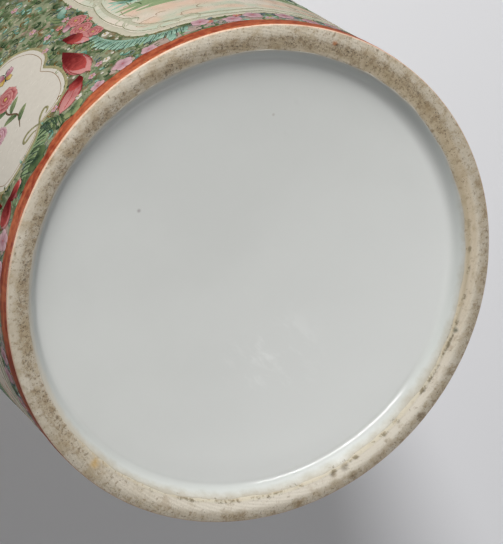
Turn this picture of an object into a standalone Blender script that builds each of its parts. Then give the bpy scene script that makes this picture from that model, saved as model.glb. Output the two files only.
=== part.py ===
"""Brush pot: a straight porcelain cylinder on a bare foot ring, with its fired-on coats.

The origin is the centre of the standing face and +Z points to the mouth.
Every piece is turned about Z. Profiles run down the outer side first and are in metres.
"""
import math

import bpy

# Driving dimensions
OUTER_RADIUS = 0.0500
HEIGHT = 0.1250
COAT = 0.00035            # thickness of an enamel coat
GLAZE = 0.0004            # thickness of a glaze coat
GAP = 0.0003              # seam left between neighbouring pieces
BODY_THICKNESS = 0.00405  # clay thickness of the wall
SLAB_THICKNESS = 0.0045

# Foot
RING_HEIGHT = 0.0036
RING_BEVEL_WIDTH = 0.0015
RING_BEVEL_HEIGHT = 0.0005
RING_BARE_SETBACK = 0.00005  # the bare edge lies this far inside the enamel's face
STANDING_INNER_RADIUS = 0.0460
COVE_WIDTH = 0.0055
COVE_START_HEIGHT = 0.0003

# Enamel bands
FOOT_BAND_HEIGHT = 0.0038
RIM_BAND_HEIGHT = 0.0039
RIM_BAND_INNER_HEIGHT = 0.0024
LIP_HEIGHT = 0.0012          # height of the wall's rounded top

# Resolution
TURN_STEPS = 72
ARC_STEPS = 4

# Worked out from the above
BODY_RADIUS = OUTER_RADIUS - COAT - GAP
BODY_INNER_RADIUS = BODY_RADIUS - BODY_THICKNESS
LINER_RADIUS = BODY_INNER_RADIUS - GAP
CAVITY_RADIUS = LINER_RADIUS - GLAZE
SLAB_BOTTOM = RING_HEIGHT + GAP
SLAB_TOP = SLAB_BOTTOM + SLAB_THICKNESS
LIP_SPRING = HEIGHT - COAT - GAP - LIP_HEIGHT
LIP_CENTRE_RADIUS = (BODY_RADIUS + BODY_INNER_RADIUS) / 2
LIP_HALF_WIDTH = BODY_THICKNESS / 2
FOOT_BAND_BOTTOM = RING_BEVEL_HEIGHT + GAP
FOOT_BAND_TOP = FOOT_BAND_BOTTOM + FOOT_BAND_HEIGHT
RIM_BAND_BOTTOM = HEIGHT - RIM_BAND_HEIGHT
RIM_BAND_INNER_BOTTOM = HEIGHT - RIM_BAND_INNER_HEIGHT

# Colour (linear RGB), roughness
PORCELAIN = ((0.76, 0.73, 0.67), 0.55)
BARE_FOOT = ((0.60, 0.53, 0.43), 0.80)
CLEAR_GLAZE = ((0.62, 0.63, 0.62), 0.12)
IRON_RED = ((0.46, 0.08, 0.03), 0.30)
ENAMEL_GREEN = ((0.30, 0.42, 0.28), 0.25)


def clear_scene():
    for old in list(bpy.data.objects):
        bpy.data.objects.remove(old, do_unlink=True)


def make_material(name, finish):
    colour, roughness = finish
    material = bpy.data.materials.new(name)
    material.use_nodes = True
    shader = material.node_tree.nodes["Principled BSDF"]
    shader.inputs["Base Color"].default_value = (*colour, 1.0)
    shader.inputs["Roughness"].default_value = roughness
    shader.inputs["Metallic"].default_value = 0.0
    material.diffuse_color = (*colour, 1.0)
    return material


def arc(centre, half_width, half_height, start_deg, end_deg, steps=ARC_STEPS):
    """Points of an ellipse; 0 degrees is outward (+r) and 90 degrees is up (+z)."""
    points = []
    for step in range(steps + 1):
        angle = math.radians(start_deg + (end_deg - start_deg) * step / steps)
        points.append((centre[0] + half_width * math.cos(angle),
                       centre[1] + half_height * math.sin(angle)))
    return points


def turned(name, profile, material, collection, closed=True):
    """Turn a profile of (radius, height) points about Z; an open one starts and ends on Z."""
    mesh = bpy.data.meshes.new(name)
    vertices = [(radius, 0.0, height) for radius, height in profile]
    edges = [(i, i + 1) for i in range(len(profile) - 1)]
    if closed:
        edges.append((len(profile) - 1, 0))
    mesh.from_pydata(vertices, edges, [])
    mesh.materials.append(material)
    turned_object = bpy.data.objects.new(name, mesh)
    collection.objects.link(turned_object)
    screw = turned_object.modifiers.new("turn", "SCREW")
    screw.axis = "Z"
    screw.angle = math.tau
    screw.steps = TURN_STEPS
    screw.render_steps = TURN_STEPS
    screw.use_merge_vertices = True
    screw.merge_threshold = 0.00001
    screw.use_smooth_shade = True
    return turned_object


def sleeve(outer_radius, thickness, bottom, top):
    """Profile of a plain tube."""
    inner_radius = outer_radius - thickness
    return [(outer_radius, top), (outer_radius, bottom), (inner_radius, bottom), (inner_radius, top)]


def cove(inset, start_deg, end_deg):
    """The hollow curve from the standing face in to the recess, moved inward by inset."""
    centre = (STANDING_INNER_RADIUS - COVE_WIDTH, COVE_START_HEIGHT)
    height = RING_HEIGHT - COVE_START_HEIGHT
    return arc(centre, COVE_WIDTH - inset, height - inset, start_deg, end_deg)


def add_wall(collection):
    """The clay cylinder, with a rounded lip."""
    lip = arc((LIP_CENTRE_RADIUS, LIP_SPRING), LIP_HALF_WIDTH, LIP_HEIGHT, 180, 0, 2 * ARC_STEPS)
    profile = lip + [(BODY_RADIUS, SLAB_BOTTOM), (BODY_INNER_RADIUS, SLAB_BOTTOM)]
    return turned("wall", profile, make_material("wall_porcelain", PORCELAIN), collection)


def add_base_slab(collection):
    """The clay disc that floors the pot, set inside the wall."""
    profile = [(0.0, SLAB_TOP), (LINER_RADIUS, SLAB_TOP), (LINER_RADIUS, SLAB_BOTTOM), (0.0, SLAB_BOTTOM)]
    material = make_material("slab_porcelain", PORCELAIN)
    return turned("base_slab", profile, material, collection, closed=False)


def add_foot_ring(collection):
    """The bare ring it stands on: bevelled outside, coved inside, rebated for the red band."""
    bare_radius = OUTER_RADIUS - RING_BARE_SETBACK
    bevel_centre = (bare_radius - RING_BEVEL_WIDTH, RING_BEVEL_HEIGHT)
    profile = [(BODY_RADIUS, RING_HEIGHT), (BODY_RADIUS, RING_BEVEL_HEIGHT)]
    profile += arc(bevel_centre, RING_BEVEL_WIDTH, RING_BEVEL_HEIGHT, 0, -90)
    profile += [(STANDING_INNER_RADIUS + COVE_START_HEIGHT, 0.0)]
    profile += cove(0.0, 0, 90)
    return turned("foot_ring", profile, make_material("bare_porcelain", BARE_FOOT), collection)


def add_base_glaze(collection):
    """The glaze of the recess: flat under the slab, curving down inside the foot ring."""
    back = cove(GAP, 90, 0)
    face = cove(GAP + GLAZE, 0, 90)
    profile = [(0.0, RING_HEIGHT), (STANDING_INNER_RADIUS - COVE_WIDTH - GAP, RING_HEIGHT)]
    profile += back + face + [(0.0, face[-1][1])]
    material = make_material("recess_glaze", CLEAR_GLAZE)
    return turned("base_glaze", profile, material, collection, closed=False)


def add_inner_glaze(collection):
    """The glaze of the inside: a thin cup lining the wall and the slab."""
    top = RIM_BAND_INNER_BOTTOM - GAP
    floor = SLAB_TOP + GAP
    profile = [(0.0, floor + GLAZE), (CAVITY_RADIUS, floor + GLAZE), (CAVITY_RADIUS, top),
               (LINER_RADIUS, top), (LINER_RADIUS, floor), (0.0, floor)]
    material = make_material("lining_glaze", CLEAR_GLAZE)
    return turned("inner_glaze", profile, material, collection, closed=False)


def add_foot_band(collection):
    profile = sleeve(OUTER_RADIUS, COAT, FOOT_BAND_BOTTOM, FOOT_BAND_TOP)
    return turned("foot_band", profile, make_material("foot_iron_red", IRON_RED), collection)


def add_enamel_field(collection):
    """The painted enamels between the two red bands."""
    profile = sleeve(OUTER_RADIUS, COAT, FOOT_BAND_TOP + GAP, RIM_BAND_BOTTOM - GAP)
    return turned("enamel_field", profile, make_material("painted_enamel", ENAMEL_GREEN), collection)


def add_rim_band(collection):
    """The red band that wraps over the lip."""
    centre = (LIP_CENTRE_RADIUS, LIP_SPRING)
    back = (LIP_HALF_WIDTH + GAP, LIP_HEIGHT + GAP)
    face = (back[0] + COAT, back[1] + COAT)
    profile = arc(centre, *face, 180, 0, 2 * ARC_STEPS)
    profile += [(centre[0] + face[0], RIM_BAND_BOTTOM), (centre[0] + back[0], RIM_BAND_BOTTOM)]
    profile += arc(centre, *back, 0, 180, 2 * ARC_STEPS)
    profile += [(centre[0] - back[0], RIM_BAND_INNER_BOTTOM), (centre[0] - face[0], RIM_BAND_INNER_BOTTOM)]
    return turned("rim_band", profile, make_material("rim_iron_red", IRON_RED), collection)


def main():
    clear_scene()
    collection = bpy.data.collections.new("brush_pot")
    bpy.context.scene.collection.children.link(collection)
    add_wall(collection)
    add_base_slab(collection)
    add_foot_ring(collection)
    add_base_glaze(collection)
    add_inner_glaze(collection)
    add_foot_band(collection)
    add_enamel_field(collection)
    add_rim_band(collection)


main()
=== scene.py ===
import random
from functools import reduce
from math import atan2, cos, degrees, pi, radians, sin, tau

import bpy
import numpy as np
from mathutils import Matrix, Vector


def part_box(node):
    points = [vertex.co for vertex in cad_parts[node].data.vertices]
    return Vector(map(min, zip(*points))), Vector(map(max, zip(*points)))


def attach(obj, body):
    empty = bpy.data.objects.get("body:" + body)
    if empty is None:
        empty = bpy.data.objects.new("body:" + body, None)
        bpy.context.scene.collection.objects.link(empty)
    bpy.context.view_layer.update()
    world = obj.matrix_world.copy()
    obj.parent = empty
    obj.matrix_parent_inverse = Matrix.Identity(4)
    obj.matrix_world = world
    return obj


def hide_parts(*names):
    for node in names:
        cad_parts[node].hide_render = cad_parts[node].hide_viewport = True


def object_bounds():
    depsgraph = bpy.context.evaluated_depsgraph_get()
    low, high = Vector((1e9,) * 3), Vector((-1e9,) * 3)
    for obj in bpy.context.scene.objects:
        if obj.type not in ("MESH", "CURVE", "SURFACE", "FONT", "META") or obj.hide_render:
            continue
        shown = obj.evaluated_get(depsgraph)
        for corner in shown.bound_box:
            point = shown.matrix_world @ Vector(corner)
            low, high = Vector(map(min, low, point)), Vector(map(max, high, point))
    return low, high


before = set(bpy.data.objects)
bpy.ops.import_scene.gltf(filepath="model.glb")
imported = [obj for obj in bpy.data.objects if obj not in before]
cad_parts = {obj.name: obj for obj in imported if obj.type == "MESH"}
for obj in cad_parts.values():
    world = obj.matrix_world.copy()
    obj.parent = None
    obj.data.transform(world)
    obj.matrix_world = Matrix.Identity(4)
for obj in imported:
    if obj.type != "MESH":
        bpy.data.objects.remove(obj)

# A porcelain brush pot, painted in overglaze enamels and seen from under its foot.
# Lengths are metres and the pot stands on z = 0 with its axis on Z. Decoration is laid out
# in millimetres on the unrolled wall, in three equal units round the pot.
MM = 0.001
CAD_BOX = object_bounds()

# From the frame
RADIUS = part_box("foot_band")[1].x
HEIGHT = CAD_BOX[1].z
BAND_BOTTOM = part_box("foot_band")[0].z
BAND_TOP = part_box("foot_band")[1].z
FIELD_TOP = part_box("enamel_field")[1].z
RIM_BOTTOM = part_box("rim_band")[0].z
BARE_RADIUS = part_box("foot_ring")[1].x
RECESS_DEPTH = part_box("base_glaze")[1].z - 0.5 * MM
LINER_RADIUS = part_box("inner_glaze")[1].x
CAVITY_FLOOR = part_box("inner_glaze")[0].z + 0.4 * MM
CAVITY_RADIUS = LINER_RADIUS - 0.4 * MM
GROUND_RADIUS = RADIUS - 0.38 * MM

UNITS = 3
UNIT_WIDTH = tau * RADIUS / UNITS / MM
UNIT_START = radians(-4.5)     # where the first unit's white reserve is centred
FIELD_LOW = BAND_TOP / MM
FIELD_HIGH = FIELD_TOP / MM
MIDDLE = (FIELD_LOW + FIELD_HIGH) / 2


# ---------------------------------------------------------------- camera, light and floor

CAMERA_DISTANCE = 0.60726
CAMERA_TILT = radians(29.215)   # between the pot's axis and the line of sight
CAMERA_ROLL = radians(52)
CAMERA_LENS = 209.9
CAMERA_AIM = Vector((0.0006, -0.0017, 0))
WINDOW = (0.5, -0.8, -0.333)    # towards the main lamp, which grazes the foot
WINDOW_LIGHT = (1, 0.99, 0.975)
GLINT_WIDTH = 0.03              # the glint's lamp is a narrow strip

# Name, direction from the pot, distance, size and power
LAMPS = (
    ("window", WINDOW, 0.9, 0.6, 13.5),
    ("side_window", WINDOW, 0.9, 0.6, 7.4),
    ("back_window", (0.52, -0.8, -0.52), 0.9, 0.22, 10),
    ("glint", (0.272, -0.324, -0.906), 0.9, 0.75, 9),
    ("side_fill", (-0.88, -0.32, -0.34), 0.9, 0.5, 0.6),
    ("under_fill", (0, 0.486, -0.874), 0.9, 0.9, 1.7),
    ("under_back", (-0.28, 0.726, -0.615), 0.9, 0.9, 0.8),
    ("over_front", (-0.5, -0.6, 0.3), 1.2, 0.7, 3),
    ("over_side", (0.9, 0.5, 0.4), 1.3, 0.9, 5),
    ("over_back", (-0.7, 0.8, 0.4), 1.2, 0.9, 5),
    ("over_top", (0.45, -0.55, 1.1), 1, 0.7, 8),
    ("over_floor", (-0.2, -0.3, 1.2), 1.4, 0.8, 11),
)


def add_object(name, data):
    made = bpy.data.objects.new(name, data)
    bpy.context.scene.collection.objects.link(made)
    return made


def add_camera():
    data = bpy.data.cameras.new("camera")
    data.lens = CAMERA_LENS
    data.sensor_width = 36
    data.clip_start = 0.01
    camera = add_object("camera", data)
    camera.location = CAMERA_DISTANCE * Vector((0, -sin(CAMERA_TILT), -cos(CAMERA_TILT)))
    towards = (CAMERA_AIM - camera.location).to_track_quat("-Z", "Y").to_matrix()
    camera.rotation_euler = (towards @ Matrix.Rotation(-CAMERA_ROLL, 3, "Z")).to_euler()
    bpy.context.scene.camera = camera


def add_lamp(name, direction, distance, size, power):
    data = bpy.data.lights.new(name, "AREA")
    data.shape = "DISK"
    data.size = size
    data.energy = power
    lamp = add_object(name, data)
    lamp.location = Vector(direction).normalized() * distance
    lamp.rotation_euler = Vector(direction).to_track_quat("Z", "Y").to_euler()
    return lamp


def keep_to(lamp, pieces):
    """Keeps a lamp's light to these pieces, as a flag on a stand does in a studio."""
    lit = bpy.data.collections.new(lamp.name + "_lit")
    for piece in pieces:
        lit.objects.link(piece)
    lamp.light_linking.receiver_collection = lit


def add_world():
    world = bpy.data.worlds.new("studio")
    bpy.context.scene.world = world
    world.use_nodes = True
    background = world.node_tree.nodes["Background"]
    background.inputs["Color"].default_value = (0.9, 0.91, 0.94, 1)
    background.inputs["Strength"].default_value = 0.07


def one_sided(name, colour):
    """A matt material that is clear when met from behind."""
    material = bpy.data.materials.new(name)
    material.use_nodes = True
    tree = material.node_tree
    shader = tree.nodes["Principled BSDF"]
    shader.inputs["Base Color"].default_value = colour
    shader.inputs["Roughness"].default_value = 0.9
    shader.inputs["Specular IOR Level"].default_value = 0.1
    side = tree.nodes.new("ShaderNodeNewGeometry")
    clear = tree.nodes.new("ShaderNodeBsdfTransparent")
    choose = tree.nodes.new("ShaderNodeMixShader")
    tree.links.new(side.outputs["Backfacing"], choose.inputs["Fac"])
    tree.links.new(shader.outputs["BSDF"], choose.inputs[1])
    tree.links.new(clear.outputs["BSDF"], choose.inputs[2])
    tree.links.new(choose.outputs["Shader"], tree.nodes["Material Output"].inputs["Surface"])
    return material


def add_stage_piece(name, vertices, faces, colour):
    """Part of the studio: it shows and takes shadows, but neither lights nor shades the pot."""
    mesh = bpy.data.meshes.new(name)
    mesh.from_pydata(vertices, [], faces)
    mesh.materials.append(one_sided(name, colour))
    piece = add_object(name, mesh)
    piece.visible_shadow = False
    piece.visible_diffuse = False
    piece.visible_glossy = False
    return piece


def add_floor():
    """A pale floor that sweeps up into a wall all round. Its underside is clear, to show the foot."""
    floor_radius, sweep, wall_height, turns = 1.8, 1, 2.5, 96
    profile = [(0, 0), (0.4, 0), (floor_radius, 0)]
    for step in range(1, 13):
        angle = pi / 2 * step / 12
        profile.append((floor_radius + sweep * sin(angle), sweep * (1 - cos(angle))))
    profile.append((floor_radius + sweep, wall_height))
    vertices = [(r * cos(tau * k / turns), r * sin(tau * k / turns), z)
                for r, z in profile for k in range(turns)]
    faces = grid_faces(len(profile), turns, wrap_columns=True)[:, ::-1]
    floor = add_stage_piece("floor", vertices, faces.tolist(), (0.8, 0.8, 0.82, 1))
    floor.data.shade_smooth()
    return floor


def add_backdrop():
    """The pale ground behind the pot when it is seen from below; it catches the pot's soft shadow."""
    half, y, z = 0.2, 0.05, HEIGHT + MM
    corners = ((-half, y - half, z), (-half, y + half, z), (half, y + half, z), (half, y - half, z))
    return add_stage_piece("backdrop", corners, [(0, 1, 2, 3)], (0.82, 0.82, 0.84, 1))


# ---------------------------------------------------------------- materials

def linear(colour):
    """Linear colour of a screen colour given in 0 to 255."""
    return tuple((c / 255 / 12.92) if c < 10.3 else ((c / 255 + 0.055) / 1.055) ** 2.4
                 for c in colour) + (1,)


def direction(bearing):
    """A bearing round the pot in degrees; 0 is the front."""
    return Vector((sin(radians(bearing)), -cos(radians(bearing)), 0))


class Finish:
    """A Principled material under construction: colours are laid over its tone one by one."""

    def __init__(self, name, tone, roughness=0.1):
        self.material = bpy.data.materials.new(name)
        self.material.use_nodes = True
        self.tree = self.material.node_tree
        self.shader = self.tree.nodes["Principled BSDF"]
        self.place = self.node("TexCoord").outputs["Object"]
        self.tone = tone
        self.shader.inputs["Roughness"].default_value = roughness

    def put(self, value, socket):
        """Feed a socket with a node's output, a number, a vector or a 0 to 255 colour."""
        if isinstance(value, bpy.types.NodeSocket):
            self.tree.links.new(value, socket)
        else:
            socket.default_value = linear(value) if isinstance(value, tuple) else value

    def node(self, kind, *values, **named):
        """A node whose first inputs are the values; named ones are inputs or settings."""
        made = self.tree.nodes.new("ShaderNode" + kind)
        for value, socket in zip(values, made.inputs):
            self.put(value, socket)
        for name, value in named.items():
            if name in made.inputs:
                self.put(value, made.inputs[name])
            else:
                setattr(made, name, value)
        return made

    def noise(self, scale, detail=3, roughness=0.55, stretch=None):
        place = self.place
        if stretch:
            place = self.node("Mapping", place, Scale=Vector(stretch)).outputs[0]
        return self.node("TexNoise", place, Scale=scale, Detail=detail, Roughness=roughness).outputs["Fac"]

    def maths(self, operation, first, second=0, third=0):
        return self.node("Math", first, second, third, operation=operation).outputs[0]

    def times(self, first, second):
        return self.maths("MULTIPLY", first, second)

    def fade(self, value, low, high, to_low=0, to_high=1):
        """Eases from to_low at low to to_high at high."""
        made = self.node("MapRange", value, low, high, to_low, to_high, interpolation_type="SMOOTHSTEP")
        return made.outputs[0]

    def mottle(self, scale, low, high, detail=3, roughness=0.55):
        """Patches where noise rises from low to high."""
        return self.fade(self.noise(scale, detail, roughness), low, high)

    def specks(self, scale, size, soft, rarest, rare):
        """Dots round a few of the many scattered points."""
        cells = self.node("TexVoronoi", self.place, Scale=scale)
        pick = self.node("SeparateColor", cells.outputs["Color"]).outputs["Red"]
        dots = self.fade(cells.outputs["Distance"], size, soft, 1, 0)
        return self.times(dots, self.fade(pick, rarest, rare))

    def mix(self, share, first, second):
        made = self.node("Mix", share, data_type="RGBA")
        self.put(first, made.inputs[6])
        self.put(second, made.inputs[7])
        return made.outputs[2]

    def over(self, colour, *shares):
        """Lay a colour over the tone so far, as strongly as the shares' product."""
        self.tone = self.mix(reduce(self.times, shares), self.tone, colour)
        self.put(self.tone, self.shader.inputs["Base Color"])

    def attribute(self, name):
        return self.node("Attribute", attribute_name=name).outputs["Fac"]

    def vectors(self, operation, first, *second):
        return self.node("VectorMath", first, *second, operation=operation)

    def radius(self):
        """Distance from the pot's axis."""
        flat = self.vectors("MULTIPLY", self.place, Vector((1, 1, 0)))
        return self.vectors("LENGTH", flat.outputs[0]).outputs["Value"]

    def beyond(self, low, high):
        """0 up to the low radius and 1 from the high one, in mm."""
        return self.fade(self.radius(), low * MM, high * MM)

    def within(self, low, high):
        """1 up to the low radius and 0 from the high one, in mm."""
        return self.fade(self.radius(), low * MM, high * MM, 1, 0)

    def facing(self, bearing, low, high):
        """Rises from low to high, in mm from the pot's axis towards a bearing."""
        reach = self.vectors("DOT_PRODUCT", self.place, direction(bearing)).outputs["Value"]
        return self.fade(reach, low * MM, high * MM)

    def spot(self, bearing, away, size, up=0):
        """1 at a bearing, away from the axis and up from the foot, fading over size; all in mm."""
        centre = direction(bearing) * away * MM + Vector((0, 0, up * MM))
        gap = self.vectors("DISTANCE", self.place, centre).outputs["Value"]
        return self.fade(gap, size * 0.2 * MM, size * MM, 1, 0)

    def metal(self, value):
        self.put(value, self.shader.inputs["Metallic"])

    def rough(self, value, low, high):
        """Roughness from low to high as the value goes from 0.3 to 0.7."""
        self.put(self.fade(value, 0.3, 0.7, low, high), self.shader.inputs["Roughness"])

    def bump(self, height, distance, strength):
        made = self.node("Bump", Height=height, Distance=distance, Strength=strength)
        self.put(made.outputs["Normal"], self.shader.inputs["Normal"])


def add_orange_peel(look):
    """The faint ripple and the uneven gloss of a glaze."""
    look.rough(look.noise(90), 0.08, 0.16)
    look.bump(look.noise(160, 2), 0.0003, 0.1)
    return look.material


def glaze_finish(name, tint, pooled):
    """Glossy porcelain glaze with a faint drift of tone and a few specks."""
    look = Finish(name, tint)
    look.over(pooled, look.mottle(28, 0.35, 0.65, 4))
    look.over((140, 130, 120), look.specks(330, 0.05, 0.13, 0.975, 0.985), 0.45)
    return add_orange_peel(look)


def recess_glaze_finish():
    """The glaze of the recess: grey-white, thinning to the cream body at its edge, with one pinhole, and
    painted light and shade.
    """
    depth = RECESS_DEPTH / MM
    look = Finish("recess_glaze", (205, 207, 204))
    look.over((201, 203, 200), look.mottle(28, 0.35, 0.65, 4))
    # Painted light: the glaze is painted lighter towards the back of the recess, where more light and
    # reflection fall.
    look.over((214, 216, 214), look.facing(180, -15, 45))
    # Painted shade: a darker band in the hollow next to the ring, where the ring shades the glaze.
    look.over((178, 182, 179), look.beyond(42.2, 44), look.within(44.4, 45.4), 0.7)
    ragged = look.maths("MULTIPLY_ADD", look.noise(260, 4, 0.7), 0.0016, look.radius())
    body = look.mix(look.facing(195, -10, 20), (190, 182, 166), (160, 153, 137))
    look.over(body, look.fade(ragged, 0.0448, 0.0462, 0, 0.85))
    look.over((104, 98, 80), look.mottle(560, 0.56, 0.63, 4, 0.7), look.beyond(44.8, 45.3),
              look.facing(200, 15, 35), 0.7)
    look.over((104, 84, 84), look.spot(-7.2, 27.3, 0.6, depth), 0.5)
    # Painted reflection: a pale streak of sheen on the floor of the recess.
    painted_sheen_streak = look.fade(look.noise(150, 5, 0.7, (1, 0.35, 1)), 0.5, 0.66)
    look.over((236, 238, 236), look.spot(-148, 19, 13, depth), painted_sheen_streak, 0.35)
    look.over((150, 142, 134), look.specks(300, 0.04, 0.12, 0.988, 0.992), 0.4)
    return add_orange_peel(look)


# Bearing, radius and size in mm, colour and strength of the stains and smears on the bare ring
STAINS = (
    (67.8, 47.8, 0.8, (176, 104, 48), 0.85), (68.4, 47.5, 0.35, (84, 50, 26), 0.9),
    (-86.6, 46.7, 1.5, (206, 170, 104), 0.6), (-157.6, 48.8, 1.3, (110, 90, 58), 0.8),
    (-142.7, 48.8, 1.9, (134, 112, 76), 0.55), (159, 46, 0.9, (96, 96, 78), 0.9),
    (-178.6, 49, 1.4, (104, 84, 56), 0.8), (-128, 48.7, 1.9, (136, 114, 80), 0.5),
    (98.4, 46.9, 1.6, (158, 136, 100), 0.5), (122, 48.9, 1.9, (140, 118, 82), 0.5),
    (169, 48.7, 1.2, (124, 104, 72), 0.7), (176, 46, 0.6, (96, 88, 68), 0.8),
    (-156.6, 46, 1.3, (112, 100, 80), 0.75), (-153, 46, 1, (112, 100, 80), 0.7))

# Noise scale, colour, noise range, extra in the grime and strength of each size of dirt
DIRT = (
    (240, (172, 154, 126), 0.5, 0.64, 0.07, 0.5),
    (420, (168, 150, 120), 0.48, 0.68, 0.06, 0.55),
    (900, (142, 122, 94), 0.53, 0.68, 0.07, 0.6),
    (1700, (104, 86, 62), 0.585, 0.69, 0.075, 0.62),
    (3200, (58, 48, 38), 0.63, 0.69, 0.07, 0.75))


def bare_foot_finish():
    """Unglazed porcelain: cream, gritty and grimed. The front and right of the ring are grimed along
    the crest, the back along its outer shoulder and in a broken line at the glaze."""
    look = Finish("bare_porcelain", (208, 200, 185))
    back, right = look.facing(195, -12, 22), look.facing(105, 10, 45)

    def near_circle(circle, width):
        away = look.maths("ABSOLUTE", look.maths("SUBTRACT", look.radius(), circle * MM))
        return look.fade(away, 0.3 * width * MM, width * MM, 1, 0)

    crest = look.times(near_circle(46.9, 2), look.maths("SUBTRACT", 1, back))
    shoulder = look.times(near_circle(49.3, 1.5), look.times(back, 0.5))
    grime = look.maths("MAXIMUM", look.maths("MAXIMUM", crest, shoulder), look.times(right, 0.3))
    grime = look.times(grime, look.fade(look.noise(170), 0.36, 0.62, 0.55, 1))
    clean = look.times(look.within(47, 48.2), look.facing(190, 4, 34))
    grime = look.maths("MULTIPLY_ADD", clean, -0.8, grime)
    broad, fine = look.noise(75, 5, 0.65), look.noise(900, 6, 0.75)
    look.over((196, 186, 167), look.fade(broad, 0.3, 0.7))
    look.over((160, 144, 118), grime, 0.38)
    look.over((228, 221, 207), clean, 0.8)
    look.over((186, 179, 162), look.within(45.6, 46.2), back)
    look.over((190, 170, 136), near_circle(46.2, 1.8), right, 0.6)
    for scale, dirt, low, high, reach, share in DIRT:
        grain = look.maths("MULTIPLY_ADD", grime, reach, look.noise(scale, 5, 0.62))
        look.over(dirt, look.fade(grain, low, high), share)
    broken = look.mottle(420, 0.5, 0.62, 4, 0.7)
    look.over((104, 94, 70), near_circle(45.75, 0.5), look.facing(195, 14, 30), broken, 0.75)
    for bearing, away, size, mark, share in STAINS:
        look.over(mark, look.spot(bearing, away, size), look.fade(fine, 0.36, 0.54, 0.3, 1), share)
    look.over((214, 172, 146), look.beyond(49.65, 49.9), 0.5)
    look.rough(broad, 0.62, 0.85)
    look.bump(look.noise(2600), 0.0001, 0.5)
    return look.material


def porcelain_finish(name):
    """The fired clay itself: white, matt and finely pitted."""
    look = Finish(name, (226, 222, 212))
    drift = look.noise(60, 4, 0.6)
    look.over((214, 207, 192), look.fade(drift, 0.3, 0.7))
    look.over((146, 128, 104), look.specks(420, 0.05, 0.14, 0.93, 0.95), 0.5)
    look.rough(drift, 0.5, 0.7)
    look.bump(look.noise(2200), 0.00008, 0.5)
    return look.material


def iron_red_finish(name, gilt_above=None):
    """Iron-red enamel, brushed round the pot: thin and orange where the brush ran dry, flecked with
    gilding, and gilt all over above a given height."""
    look = Finish(name, (142, 48, 28))
    grain = look.noise(900, 4, 0.6)
    streaks = look.times(look.noise(60, 5, 0.65, (1, 1, 9)), 0.85)
    thin = look.maths("MULTIPLY_ADD", grain, 0.55, streaks)
    look.over((212, 120, 80), look.fade(thin, 0.5, 0.9))
    worn = look.mottle(260, 0.6, 0.74, 5, 0.7)
    look.over((206, 156, 124), worn, 0.45)
    gilt = look.fade(look.noise(1500, 3, 0.6), 0.655, 0.7, 0, 0.8)
    if gilt_above:
        height = look.node("SeparateXYZ", look.place).outputs["Z"]
        ragged = look.maths("MULTIPLY_ADD", look.noise(300, 4), 0.0008, height)
        lip = look.fade(ragged, gilt_above, gilt_above + 0.5 * MM)
        gilt = look.maths("MAXIMUM", gilt, look.times(lip, look.fade(worn, 0.2, 0.9, 0.95, 0.3)))
    look.over((208, 164, 92), gilt)
    look.metal(look.times(gilt, 0.8))
    look.rough(grain, 0.3, 0.5)
    look.bump(thin, 0.00008, 0.6)
    return look.material


def enamel_finish(name, deep, light, mottle):
    """Glassy enamel that runs from deep to light along each stroke, mottled where it pooled."""
    look = Finish(name, deep)
    uneven = look.maths("SUBTRACT", look.noise(900), 0.5)
    pooled = look.maths("MULTIPLY_ADD", uneven, mottle * 2, look.attribute("shade"))
    look.over(light, look.fade(pooled, 0, 1))
    look.rough(look.noise(500), 0.14, 0.28)
    look.bump(look.noise(1260, 2), 0.00006, 0.3)
    return look.material


def gilt_finish():
    """Worn brown-gold gilding."""
    look = Finish("gilt", (150, 104, 48))
    worn = look.noise(700, 4)
    look.over((214, 172, 98), look.fade(worn, 0.35, 0.65))
    look.metal(look.fade(worn, 0.35, 0.6, 0.35, 0.85))
    look.rough(worn, 0.25, 0.5)
    return look.material


def painted_ground_finish():
    """The thin wash behind the scroll ground: olive, grey-green and cream, broken up finely."""
    look = Finish("painted_ground", (84, 100, 66), 0.3)
    fine = look.noise(800, 5, 0.65)
    look.over((150, 158, 126), look.mottle(330, 0.4, 0.6, 5, 0.65))
    look.over((196, 188, 160), look.fade(fine, 0.54, 0.66))
    look.over((186, 142, 134), look.mottle(150, 0.6, 0.68), 0.4)
    look.over((130, 98, 62), look.mottle(480, 0.58, 0.66), 0.7)
    look.bump(fine, 0.0001, 0.4)
    return look.material


def panel_wash_finish():
    """The panel's thin wash: warm cream, with soft celadon streaks and peach where shade is high."""
    look = Finish("panel_wash", (240, 228, 211))
    fine = look.noise(420, 5, 0.6)
    look.over((207, 217, 194), look.fade(look.noise(70, 4, 0.6, (1, 1, 2.2)), 0.4, 0.62))
    blush = look.maths("ADD", look.attribute("shade"), look.maths("MULTIPLY_ADD", fine, 0.5, -0.25))
    look.over((240, 204, 180), look.fade(blush, 0.1, 0.95, 0, 0.8))
    look.over((238, 228, 210), look.fade(fine, 0.6, 0.72, 0, 0.5))
    look.rough(fine, 0.2, 0.4)
    look.bump(fine, 0.00005, 0.5)
    return look.material


# ---------------------------------------------------------------- turned shapes

def add_mesh(name, vertices, faces, material, replaced=()):
    mesh = bpy.data.meshes.new(name)
    mesh.from_pydata(vertices.tolist(), [], faces.tolist())
    mesh.shade_smooth()
    mesh.materials.append(material)
    piece = add_object(name, mesh)
    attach(piece, "root")
    if replaced:
        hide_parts(*replaced)
    return piece


def grid_faces(rows, columns, wrap_rows=False, wrap_columns=False, start=0):
    """Quads of a grid of points laid out row by row."""
    row = np.arange(rows if wrap_rows else rows - 1)
    column = np.arange(columns if wrap_columns else columns - 1)
    row, column = (a.ravel() for a in np.meshgrid(row, column, indexing="ij"))
    next_row = (row + 1) % rows
    next_column = (column + 1) % columns
    corners = (row * columns + column, row * columns + next_column,
            next_row * columns + next_column, next_row * columns + column)
    return np.stack(corners, axis=1) + start


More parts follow.
